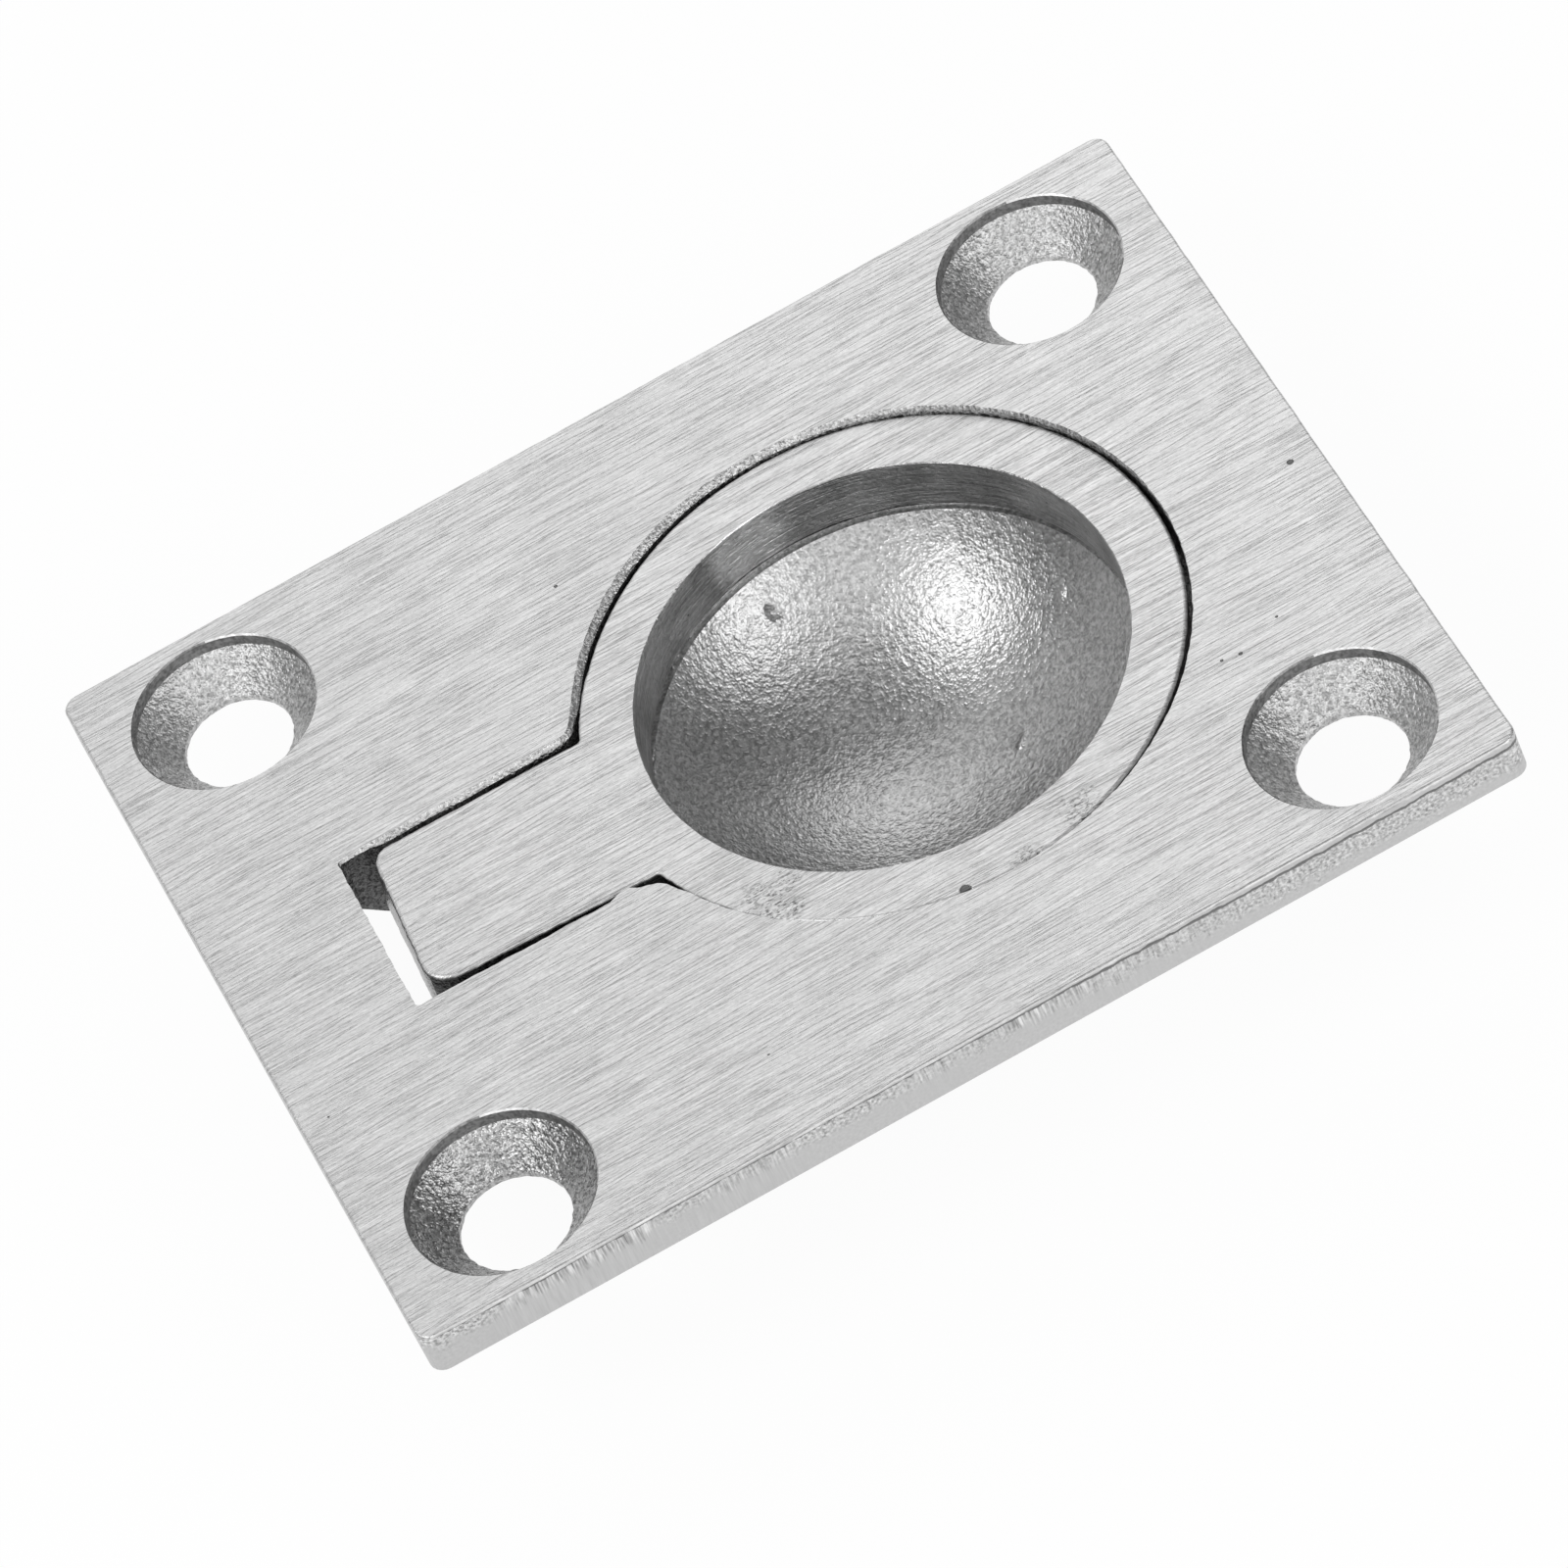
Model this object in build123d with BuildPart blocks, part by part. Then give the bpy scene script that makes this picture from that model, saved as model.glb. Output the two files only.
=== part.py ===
"""Flush ring pull: a cast face plate with a finger dish, a hinged pull ring and its pin.

Origin: centre of the screw-hole pattern, on the underside of the plate, which sits on the panel.
+X runs along the plate from the hinge to the ring, +Z out of the panel. All sizes in millimetres.
"""

from build123d import *
from math import cos, hypot, radians, sin, tan
import os

os.makedirs("parts", exist_ok=True)

# Face plate
plate_length = 63.0
plate_width = 50.0
plate_thickness = 3.0
plate_corner_radius = 1.5
face_edge_round = 0.3
back_edge_break = 0.2

# Screw holes, for 5 mm countersunk wood screws
screw_spacing_x = 48.4
screw_spacing_y = 37.7
screw_bore_radius = 3.0
screw_head_radius = 5.05
screw_head_angle = 90.0
screw_head_lip = 0.45

# Pull ring, measured from the pin in the ring's own plane
ring_center_x = 6.3
ring_reach = 25.2
ring_bore_radius = 13.25
ring_band = 3.05
ring_thickness = 3.7
ring_edge_break = 0.2
ring_bore_edge_break = 0.1
ring_bore_back_break = 0.35
ring_back_break = 0.3
ring_swing_draft = 10.0
tang_width = 10.2
tang_corner_radius = 1.0
tang_below_face = 0.1
tail_reach = 2.9
ring_droop_angle = 0.6

# Hinge
pin_radius = 1.0
pin_end_chamfer = 0.2
pin_below_plate = 0.05
knuckle_wall = 1.2
knuckle_fillet = 0.2
knuckle_inset = 0.4
ear_thickness = 2.4
ear_wall = 1.8
ear_foot_run = 1.5
hinge_running_fit = 0.05
pin_press_fit = 0.01

# Pocket and slot
ring_gap = 0.4
tang_side_gap = 0.5
ring_seat_gap = 0.1
stand_up_gap = 0.2
swing_gap = 0.4
pocket_neck_radius = 1.2
pocket_slot_radius = 0.3

# Finger dish and its cast shell; the dish meets the pocket floor at the ring's bore radius
dish_depth = 6.5
dish_lip_break = 0.3
shell_thickness = 1.8
shell_shoulder_break = 1.2
shell_dome_fillet = 1.5
shell_root_run = 0.8

# Heights and places that follow from those sizes
pin_x = ring_center_x - ring_reach
pin_z = -pin_below_plate - pin_radius
droop = radians(ring_droop_angle)
ring_outer_radius = ring_bore_radius + ring_band
ring_top = plate_thickness - tang_below_face - pin_z
ring_underside = ring_top - ring_thickness
ring_back_radius = ring_outer_radius - ring_thickness * tan(radians(ring_swing_draft))
ring_tip_reach = ring_reach + ring_outer_radius
ring_tip_z = pin_z + ring_underside * cos(droop) - ring_tip_reach * sin(droop)
ledge_z = ring_tip_z - ring_seat_gap
pocket_radius = ring_outer_radius + ring_gap
channel_width = tang_width + 2 * tang_side_gap
ear_outer_width = channel_width + 2 * ear_thickness
knuckle_radius = pin_radius + hinge_running_fit + knuckle_wall
knuckle_width = tang_width - 2 * knuckle_inset
tang_length = tail_reach + ring_reach - ring_bore_radius - ring_band / 3
ear_radius = pin_radius + ear_wall
tail_swing_radius = hypot(tail_reach, ring_top)
slot_start_x = pin_x - ring_top - stand_up_gap
slot_finish_x = pin_x + knuckle_radius + swing_gap
slot_length = slot_finish_x - slot_start_x
ear_foot_x = slot_start_x - ear_foot_run
dish_rim_radius = ring_bore_radius
dish_sphere_radius = (dish_rim_radius**2 + dish_depth**2) / (2 * dish_depth)
dish_sphere_z = ledge_z - dish_depth + dish_sphere_radius
shell_sphere_radius = dish_sphere_radius + shell_thickness
shell_radius = pocket_radius + shell_thickness
shell_floor_z = ledge_z - shell_thickness
shell_bottom_z = ledge_z - dish_depth - shell_thickness
dome_rim_radius = (shell_sphere_radius**2 - (dish_sphere_z - shell_floor_z) ** 2) ** 0.5

# The ring lies in its own plane, through the pin, with its free end a little below the face
pull_plane = Plane(
    origin=(pin_x, 0, pin_z),
    x_dir=(cos(droop), 0, -sin(droop)),
    z_dir=(sin(droop), 0, cos(droop)),
)
ring_center = pull_plane.from_local_coords(Vector(ring_reach, 0, 0))
ring_plane = Plane(ring_center, pull_plane.x_dir, -pull_plane.y_dir)
knuckle_plane = Plane(pull_plane.origin, pull_plane.x_dir, -pull_plane.y_dir)
pin_plane = Plane((pin_x, 0, pin_z), (1, 0, 0), (0, -1, 0))
dish_plane = Plane((ring_center_x, 0, 0), (1, 0, 0), (0, -1, 0))
dish_axis = Axis((ring_center_x, 0, 0), (0, 0, 1))

# Face plate: plate, keyhole boss, dish shell and hinge ears in one casting
with BuildPart() as face_plate:
    with BuildSketch():
        RectangleRounded(plate_length, plate_width, plate_corner_radius)
    extrude(amount=plate_thickness)
    fillet(face_plate.faces().sort_by(Axis.Z)[-1].edges(), face_edge_round)
    chamfer(face_plate.faces().sort_by(Axis.Z)[0].edges(), back_edge_break)

    # Round boss behind the pocket, ending in the dome of the finger dish
    with BuildSketch(dish_plane):
        with BuildLine():
            dome = RadiusArc(
                (0, shell_bottom_z), (dome_rim_radius, shell_floor_z), -shell_sphere_radius
            )
            Polyline(
                dome @ 1,
                (shell_radius, shell_floor_z),
                (shell_radius, plate_thickness / 2),
                (0, plate_thickness / 2),
                dome @ 0,
            )
        make_face()
        shoulder = vertices().sort_by_distance((shell_radius, shell_floor_z))[0]
        chamfer(shoulder, shell_shoulder_break)
        fillet(vertices().sort_by_distance(dome @ 1)[0], shell_dome_fillet)
    revolve(axis=dish_axis)

    # Channel walls and hinge ears: a lobe round the pin, drawn out to the plate and to the boss
    with BuildSketch(pin_plane):
        with BuildLine():
            CenterArc((0, 0), ear_radius, 0, 360)
            Line((ear_foot_x - pin_x, -pin_z), (ring_reach, -pin_z))
            Line((ring_reach, -pin_z), (ring_reach, shell_floor_z - pin_z))
        make_hull()
    extrude(amount=ear_outer_width / 2, both=True)

    # Cast roots where the boss and the channel walls meet the back of the plate
    root_edges = (
        face_plate.edges()
        .filter_by_position(Axis.Z, -0.01, 0.01)
        .filter_by_position(Axis.X, ear_foot_x + 0.01, ring_center_x + shell_radius)
        .filter_by_position(Axis.Y, -shell_radius, shell_radius)
    )
    chamfer(root_edges, shell_root_run)

    # Keyhole pocket that the ring and tang drop into
    with BuildSketch(Plane.XY.offset(ledge_z)):
        with Locations((ring_center_x, 0)):
            Circle(pocket_radius)
        with Locations(((slot_start_x + ring_center_x) / 2, 0)):
            Rectangle(ring_center_x - slot_start_x, channel_width)
        fillet(vertices().group_by(Axis.X)[1], pocket_neck_radius)
        fillet(vertices().group_by(Axis.X)[0], pocket_slot_radius)
    extrude(amount=plate_thickness - ledge_z, mode=Mode.SUBTRACT)

    # Slot under the tang, open at the back so that the tail can swing down
    with BuildSketch(Plane.XY.offset(shell_bottom_z)):
        with Locations((slot_start_x + slot_length / 2, 0)):
            Rectangle(slot_length, channel_width)
    extrude(amount=ledge_z - shell_bottom_z, mode=Mode.SUBTRACT)

    # Hollow behind the slot's end wall, round the pin, that clears the tail as it swings
    with BuildSketch(pin_plane):
        Circle(tail_swing_radius + swing_gap)
        with Locations((tail_swing_radius, 0)):
            Rectangle(2 * tail_swing_radius, 4 * tail_swing_radius, mode=Mode.SUBTRACT)
    extrude(amount=channel_width / 2, both=True, mode=Mode.SUBTRACT)

    # Finger dish, a shallow spherical bowl with a softened lip
    with BuildSketch(dish_plane):
        with BuildLine():
            bowl = RadiusArc(
                (0, ledge_z - dish_depth), (dish_rim_radius, ledge_z), -dish_sphere_radius
            )
            Polyline(bowl @ 1, (0, ledge_z), bowl @ 0)
        make_face()
    revolve(axis=dish_axis, mode=Mode.SUBTRACT)
    dish_rim = face_plate.edges().filter_by(GeomType.CIRCLE).filter_by(
        lambda edge: abs(edge.radius - dish_rim_radius) < 0.001
    )
    chamfer(dish_rim, dish_lip_break)

    # Pin bore through both ears
    with BuildSketch(pin_plane):
        Circle(pin_radius + pin_press_fit)
    extrude(amount=plate_width / 2, both=True, mode=Mode.SUBTRACT)

    # Countersunk screw holes, with a short straight lip above each cone
    with Locations((0, 0, plate_thickness - screw_head_lip)):
        with GridLocations(screw_spacing_x, screw_spacing_y, 2, 2):
            CounterSinkHole(
                screw_bore_radius,
                screw_head_radius,
                counter_sink_angle=screw_head_angle,
            )
face_plate.part.label = "face_plate"

# Pull ring: flat ring, wide tang with a tail past the pin, and the knuckle under the tang
with BuildPart() as pull_ring:
    with BuildSketch(pull_plane.offset(ring_underside)):
        with Locations((tang_length / 2 - tail_reach, 0)):
            Rectangle(tang_length, tang_width)
        fillet(vertices().group_by(Axis.X)[0], tang_corner_radius)
    extrude(amount=ring_thickness)
    chamfer(pull_ring.faces().sort_by(Axis.Z)[-1].edges(), ring_edge_break)

    # Ring turned from its section: its outer side draws in towards the back, so that it swings
    # clear of the pocket, and its edges are broken, most where the finger hooks under
    section_breaks = {
        (ring_bore_radius, ring_underside): ring_bore_back_break,
        (ring_back_radius, ring_underside): ring_back_break,
        (ring_outer_radius, ring_top): ring_edge_break,
        (ring_bore_radius, ring_top): ring_bore_edge_break,
    }
    with BuildSketch(ring_plane):
        with BuildLine():
            Polyline(*section_breaks, close=True)
        make_face()
        for corner, edge_break in section_breaks.items():
            chamfer(vertices().sort_by_distance(corner)[0], edge_break)
    revolve(axis=Axis(ring_center, pull_plane.z_dir))

    # Knuckle round the pin, blended into the underside of the tang
    with BuildSketch(knuckle_plane):
        Circle(knuckle_radius)
        with Locations((0, ring_underside)):
            Rectangle(2 * knuckle_radius, 2 * ring_underside)
    extrude(amount=knuckle_width / 2, both=True)
    knuckle_roots = (
        pull_ring.edges()
        .filter_by(Axis.Y)
        .filter_by_position(Axis.Z, pin_z + ring_underside / 2, pin_z + 2 * ring_underside)
        .sort_by(Axis.X)[-2:]
    )
    fillet(knuckle_roots, knuckle_fillet)
    with BuildSketch(knuckle_plane):
        Circle(pin_radius + hinge_running_fit)
    extrude(amount=tang_width, both=True, mode=Mode.SUBTRACT)
pull_ring.part.label = "pull_ring"

# Hinge pin, pressed into the ears and flush with their outer faces
with BuildPart() as hinge_pin:
    with BuildSketch(pin_plane):
        Circle(pin_radius)
    extrude(amount=ear_outer_width / 2, both=True)
    chamfer(hinge_pin.edges().filter_by(GeomType.CIRCLE), pin_end_chamfer)
hinge_pin.part.label = "hinge_pin"

export_step(face_plate.part, "parts/face_plate.step")
export_step(pull_ring.part, "parts/pull_ring.step")
export_step(hinge_pin.part, "parts/hinge_pin.step")
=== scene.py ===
"""Looks of a flush ring pull: a cast stainless plate, its hinged ring and the hinge pin.

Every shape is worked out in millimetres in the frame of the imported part, with the plate's
underside at z = 0 and its brushed face at z = 3, and turned to metres when its mesh is made.
"""

import functools
import logging
import math
from dataclasses import dataclass, replace
from enum import Enum
from typing import Callable, Iterable, Sequence

import bmesh
import bpy
import numpy as np
from mathutils import Matrix, Vector, noise

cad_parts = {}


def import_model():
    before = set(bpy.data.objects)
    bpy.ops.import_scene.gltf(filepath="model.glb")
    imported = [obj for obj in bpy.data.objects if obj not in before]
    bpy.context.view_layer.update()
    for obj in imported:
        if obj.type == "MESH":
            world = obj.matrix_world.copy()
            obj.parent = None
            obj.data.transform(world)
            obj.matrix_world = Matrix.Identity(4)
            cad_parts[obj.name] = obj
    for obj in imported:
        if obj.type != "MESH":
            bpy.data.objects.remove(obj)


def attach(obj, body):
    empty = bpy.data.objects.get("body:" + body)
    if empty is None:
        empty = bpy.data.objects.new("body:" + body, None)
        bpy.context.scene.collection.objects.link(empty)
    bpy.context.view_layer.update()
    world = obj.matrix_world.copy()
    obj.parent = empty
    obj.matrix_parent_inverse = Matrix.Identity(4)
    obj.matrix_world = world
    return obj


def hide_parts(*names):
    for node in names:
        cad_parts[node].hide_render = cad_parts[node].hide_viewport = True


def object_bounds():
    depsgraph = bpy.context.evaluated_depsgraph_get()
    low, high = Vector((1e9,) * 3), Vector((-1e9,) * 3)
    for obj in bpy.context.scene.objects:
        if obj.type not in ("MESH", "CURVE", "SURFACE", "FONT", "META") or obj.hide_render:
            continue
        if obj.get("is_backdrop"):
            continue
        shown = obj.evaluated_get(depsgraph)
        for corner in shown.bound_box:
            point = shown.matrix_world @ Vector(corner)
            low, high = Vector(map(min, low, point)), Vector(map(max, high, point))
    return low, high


LOG = logging.getLogger("ring_pull")
MM = 0.001
QUARTER = math.pi / 2
FULL = 2 * math.pi
# how far solids reach into each other where they join, in mm
OVERLAP = 0.6

Point = tuple[float, float]
Table = tuple[Point, ...]
Socket = bpy.types.NodeSocket
Pattern = tuple[Socket, Socket, float]


class Surface(Enum):
    """The finishes that one casting carries, in the order of its material slots; three of them are painted
    light: shade in the slot, shade on the countersinks' lip and a highlight on their rims.
    """

    BRUSHED = 0
    SIDE = 1
    CAST = 2
    DISH = 3
    WALL = 4
    BACK = 5
    # painted shade: a near-black grey that stands in for the shadow deep in the slot and in the gap beside
    # the tang
    SLOT = 6
    # painted shade: the countersinks' upright lip is a darker grey for the shadow it lies in
    LIP = 7
    # painted highlight: the rims' light grey, kept only on the side where the light catches them
    RIM = 8


# Outlines and profiles


def resampled(corners: Sequence[Point], spacing: float) -> np.ndarray:
    """Points at about even spacing along an open run of straight lines.

    Args:
        corners: The run's corners, which all stay.
        spacing: The widest step between points, in mm.

    Returns:
        The points, one row each.
    """
    rows = [np.array(corners[:1], float)]
    for start, end in zip(corners, corners[1:]):
        steps = max(1, math.ceil(math.dist(start, end) / spacing))
        shares = np.linspace(0, 1, steps + 1)[1:, None]
        rows.append(np.array(start) * (1 - shares) + np.array(end) * shares)
    return np.concatenate(rows)


def arc(centre: Point, radius: float, start: float, end: float, steps: int) -> np.ndarray:
    """As many points as steps along a circular arc from one angle to another, in radians."""
    angles = np.linspace(start, end, steps, endpoint=False)
    return np.column_stack((centre[0] + radius * np.cos(angles), centre[1] + radius * np.sin(angles)))


def straight(start: Point, end: Point, steps: int) -> np.ndarray:
    """As many points as steps along a straight line, without its end."""
    shares = np.linspace(0, 1, steps, endpoint=False)[:, None]
    return np.array(start) * (1 - shares) + np.array(end) * shares


@dataclass(frozen=True)
class RoundedRectangle:
    """A rectangle about the origin with rounded corners, in mm."""

    length: float
    width: float
    corner: float
    spacing: float

    def outline(self, inset: float = 0.0) -> np.ndarray:
        """The outline, anticlockwise.

        Args:
            inset: How far it draws in from the full size.

        Returns:
            The points, always as many.
        """
        x, y = self.length / 2 - self.corner, self.width / 2 - self.corner
        radius = self.corner - inset
        turns = max(4, math.ceil(self.corner * QUARTER / self.spacing))
        steps = [math.ceil(2 * half / self.spacing) for half in (x, y)]
        corners = np.array(((x, -y), (x, y), (-x, y), (-x, -y)))
        ways = np.array(((0, -1), (1, 0), (0, 1), (-1, 0)))
        runs = []
        for side, (corner, way) in enumerate(zip(corners, ways)):
            runs.append(straight(corners[side - 1] + radius * way, corner + radius * way, steps[side % 2]))
            runs.append(arc(corner, radius, (side - 1) * QUARTER, side * QUARTER, turns))
        return np.concatenate(runs)


@dataclass(frozen=True)
class Keyhole:
    """A round with a straight channel towards -X, in mm: the shape of the ring and of its pocket."""

    centre: float
    radius: float
    half_width: float
    end: float
    neck: float
    near_corner: float
    far_corner: float
    spacing: float

    def outline(self, grow: float = 0.0, draw_in: float = 0.0) -> np.ndarray:
        """The outline, anticlockwise.

        Args:
            grow: How far it moves outwards all round.
            draw_in: How far the round alone draws in.

        Returns:
            The points, always as many.
        """
        least, round_share = 0.02, 0.88
        radius, half = self.radius + grow - draw_in, self.half_width + grow
        end, neck = self.end - grow, max(self.neck - grow, least)
        near, far = max(self.near_corner + grow, least), max(self.far_corner + grow, least)
        neck_x = self.centre - math.sqrt((radius + neck) ** 2 - (half + neck) ** 2)
        open_angle = math.atan2(-(half + neck), neck_x - self.centre)
        touch = open_angle + math.pi
        bend = max(4, math.ceil(self.neck * QUARTER / self.spacing))
        turn = max(4, math.ceil(max(self.near_corner, self.far_corner) * QUARTER / self.spacing))
        side = math.ceil((self.centre - self.radius - self.end) / self.spacing)
        across = math.ceil(2 * self.half_width / self.spacing)
        sweep = math.ceil(FULL * self.radius * round_share / self.spacing)
        runs = (
            straight((end + near, -half), (neck_x, -half), side),
            arc((neck_x, -half - neck), neck, QUARTER, touch, bend),
            arc((self.centre, 0), radius, open_angle, -open_angle, sweep),
            arc((neck_x, half + neck), neck, -touch, -QUARTER, bend),
            straight((neck_x, half), (end + far, half), side),
            arc((end + far, half - far), far, QUARTER, 2 * QUARTER, turn),
            straight((end, half - far), (end, near - half), across),
            arc((end + near, near - half), near, 2 * QUARTER, 3 * QUARTER, turn),
        )
        return np.concatenate(runs)


# Closed meshes


def rounded_edge(radius: float, top: float, steps: int) -> list[Point]:
    """How far a rounded edge draws in and at what height, step by step up to its top."""
    angles = np.linspace(0, QUARTER, steps)[1:]
    return [(radius * (1 - math.cos(angle)), top - radius * (1 - math.sin(angle))) for angle in angles]


def fractal(points: np.ndarray, grain: float, seed: int, octaves: int = 2) -> np.ndarray:
    """Smooth noise from about -1 to 1 at each point, with lumps up to the grain's size in mm."""
    shift = Vector((17.3, 5.1, 29.7)) * seed
    return np.array([noise.fractal(Vector(p) / grain + shift, 1.0, 2.0, octaves) for p in points])


def quads(low: np.ndarray, high: np.ndarray) -> list[tuple[int, ...]]:
    """The faces between two closed rings of point numbers."""
    corners = np.column_stack((low, np.roll(low, -1), np.roll(high, -1), high))
    return list(map(tuple, corners.tolist()))


def paint(mesh: bpy.types.Mesh, surface: Surface, chosen: Callable[[bpy.types.MeshPolygon], bool]) -> None:
    """Gives the chosen faces another finish."""
    for face in filter(chosen, mesh.polygons):
        face.material_index = surface.value


def placed(name: str, data: bpy.types.ID) -> bpy.types.Object:
    """A new object in the scene."""
    made = bpy.data.objects.new(name, data)
    bpy.context.scene.collection.objects.link(made)
    return made


@dataclass
class Solid:
    """A closed mesh in mm that is joined to others or cuts into them."""

    points: np.ndarray
    faces: list[tuple[int, ...]]
    surface: Surface
    # above each height in mm the faces get another finish
    bands: tuple[tuple[float, Surface], ...] = ()

    @classmethod
    def lofted(cls, rings: Sequence[np.ndarray], surface: Surface) -> "Solid":
        """Skins closed rings and caps both ends.

        Args:
            rings: Rings of as many points each, in order.
            surface: The finish that its faces get.

        Returns:
            The closed mesh.
        """
        count = len(rings[0])
        levels = np.arange(len(rings) * count).reshape(-1, count)
        faces = [tuple(levels[0, ::-1].tolist())]
        for low, high in zip(levels, levels[1:]):
            faces.extend(quads(low, high))
        faces.append(tuple(levels[-1].tolist()))
        return cls(np.concatenate(rings), faces, surface)

    @classmethod
    def stacked(cls, levels: Iterable[tuple[np.ndarray, float]], surface: Surface) -> "Solid":
        """Skins flat outlines, each of them set level at its height in mm."""
        rings = [np.column_stack((outline, np.full(len(outline), height))) for outline, height in levels]
        return cls.lofted(rings, surface)

    @classmethod
    def turned(cls, profile: np.ndarray, centre: Point, steps: int, surface: Surface) -> "Solid":
        """Turns a profile, rows of radius and height in mm from the bottom up, about an upright axis."""
        levels = [(arc(centre, radius, 0, FULL, steps), height) for radius, height in profile]
        return cls.stacked(levels, surface)

    @classmethod
    def across(cls, outline: np.ndarray, half_width: float, spacing: float, surface: Surface) -> "Solid":
        """Draws an upright outline, rows of x and z in mm, out along Y both ways in narrow steps."""
        places = resampled(((half_width, 0), (-half_width, 0)), spacing)[:, 0]
        rings = [np.column_stack((outline[:, 0], np.full(len(outline), y), outline[:, 1])) for y in places]
        return cls.lofted(rings, surface)

    def moved(self, matrix: Matrix) -> "Solid":
        """The mesh taken through a matrix in mm."""
        turn = np.array(matrix)
        return replace(self, points=self.points @ turn[:3, :3].T + turn[:3, 3])

    def roughened(
        self, depth: float, grain: float, seed: int, sink: float = 0.0, octaves: int = 2
    ) -> "Solid":
        """Moves each point along its normal by noise, as a cast or blasted skin lies.

        Args:
            depth: How far the noise reaches, in mm.
            grain: The size of its largest lumps, in mm.
            seed: Picks another stretch of the same noise.
            sink: How far all points move inwards first, in mm.
            octaves: How many finer layers the noise has.

        Returns:
            The rough mesh.
        """
        mesh = self.mesh("rough")
        normals = np.zeros(len(mesh.vertices) * 3, np.float32)
        mesh.vertices.foreach_get("normal", normals)
        bpy.data.meshes.remove(mesh)
        reach = depth * fractal(self.points, grain, seed, octaves) - sink
        return replace(self, points=self.points + normals.reshape(-1, 3) * reach[:, None])

    def mesh(self, name: str) -> bpy.types.Mesh:
        """A mesh in mm with its normals outwards and its finish as its material index."""
        mesh = bpy.data.meshes.new(name)
        mesh.from_pydata(self.points.tolist(), [], self.faces)
        edit = bmesh.new()
        edit.from_mesh(mesh)
        bmesh.ops.recalc_face_normals(edit, faces=edit.faces)
        edit.to_mesh(mesh)
        edit.free()
        mesh.polygons.foreach_set("material_index", [self.surface.value] * len(mesh.polygons))
        for height, surface in self.bands:
            paint(mesh, surface, lambda face: face.center.z > height)
        return mesh


@dataclass
class Casting:
    """A piece in the making: a first solid that others are added to or cut from."""

    name: str
    finishes: dict[Surface, bpy.types.Material]
    body: bpy.types.Object | None = None

    def _object(self, solid: Solid) -> bpy.types.Object:
        """An object of that solid with one material slot for each surface."""
        made = placed(self.name, solid.mesh(self.name))
        for surface in Surface:
            made.data.materials.append(self.finishes.get(surface))
        return made

    def start(self, solid: Solid) -> None:
        """Takes the first solid."""
        self.body = self._object(solid)

    def combine(self, operation: str, *solids: Solid) -> None:
        """Adds solids to the piece or cuts them out, one after the other.

        Args:
            operation: UNION or DIFFERENCE.
            solids: The other solids.
        """
        for solid in solids:
            tool = self._object(solid)
            step = self.body.modifiers.new(operation, "BOOLEAN")
            step.operation = operation
            step.solver = "MANIFOLD"
            step.object = tool
            bpy.context.view_layer.update()
            graph = bpy.context.evaluated_depsgraph_get()
            made = bpy.data.meshes.new_from_object(self.body.evaluated_get(graph))
            self.body.modifiers.clear()
            spent = self.body.data
            self.body.data = made
            bpy.data.meshes.remove(spent)
            bpy.data.objects.remove(tool)

    def finished(self, crease: float = 32.0, bend: float = 1.5) -> bpy.types.Object:
        """Turns the piece to metres and shades it smooth between its creases.

        Args:
            crease: The angle between faces that shows as a sharp edge, in degrees.
            bend: How far a face may lean and still count as level, in degrees.

        Returns:
            The finished object.
        """
        mesh = self.body.data
        mesh.transform(Matrix.Scale(MM, 4))
        mesh.name = self.name
        mesh.polygons.foreach_set("use_smooth", [True] * len(mesh.polygons))
        mesh.set_sharp_from_angle(angle=math.radians(crease))
        edit = bmesh.new()
        edit.from_mesh(mesh)
        level = math.cos(math.radians(bend))
        # where finishes meet, or a level face meets a sloped one, the edge stays crisp
        for edge in edit.edges:
            kinds = {(face.material_index, face.normal.z > level) for face in edge.link_faces}
            if len(kinds) > 1:
                edge.smooth = False
        edit.to_mesh(mesh)
        edit.free()
        self.body.name = self.name
        return self.body


# Materials


def linear(code: str) -> tuple[float, float, float, float]:
    """A colour written as sRGB hex, in the linear values that a shader takes."""
    shares = [int(code[start : start + 2], 16) / 255 for start in (1, 3, 5)]
    red, green, blue = (c / 12.92 if c <= 0.04045 else ((c + 0.055) / 1.055) ** 2.4 for c in shares)
    return red, green, blue, 1.0


def emptied(owner: bpy.types.Material | bpy.types.World) -> bpy.types.NodeTree:
    """The node tree of a material or world, with nothing in it yet."""
    owner.use_nodes = True
    owner.node_tree.nodes.clear()
    return owner.node_tree


@dataclass(frozen=True)
class Spot:
    """A place on the face, seen from above, in mm."""

    x: float
    y: float
    radius: float


# casting flaws in the finger dish, each with how far it goes into the steel, in mm
DENTS = (
    (Spot(3.5, 11.6, 0.26), 0.16),
    (Spot(3.6, 11.2, 0.2), -0.08),
    (Spot(11.2, -1.1, 0.22), -0.1),
    (Spot(11.6, -0.8, 0.2), -0.08),
    (Spot(16.9, 3.6, 0.25), -0.07),
)


# the dark and light tones and the roughness of both brushed faces
BRUSHED_LOOK = ("#626262", "#E6E6E6", (0.3, 0.44))


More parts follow.
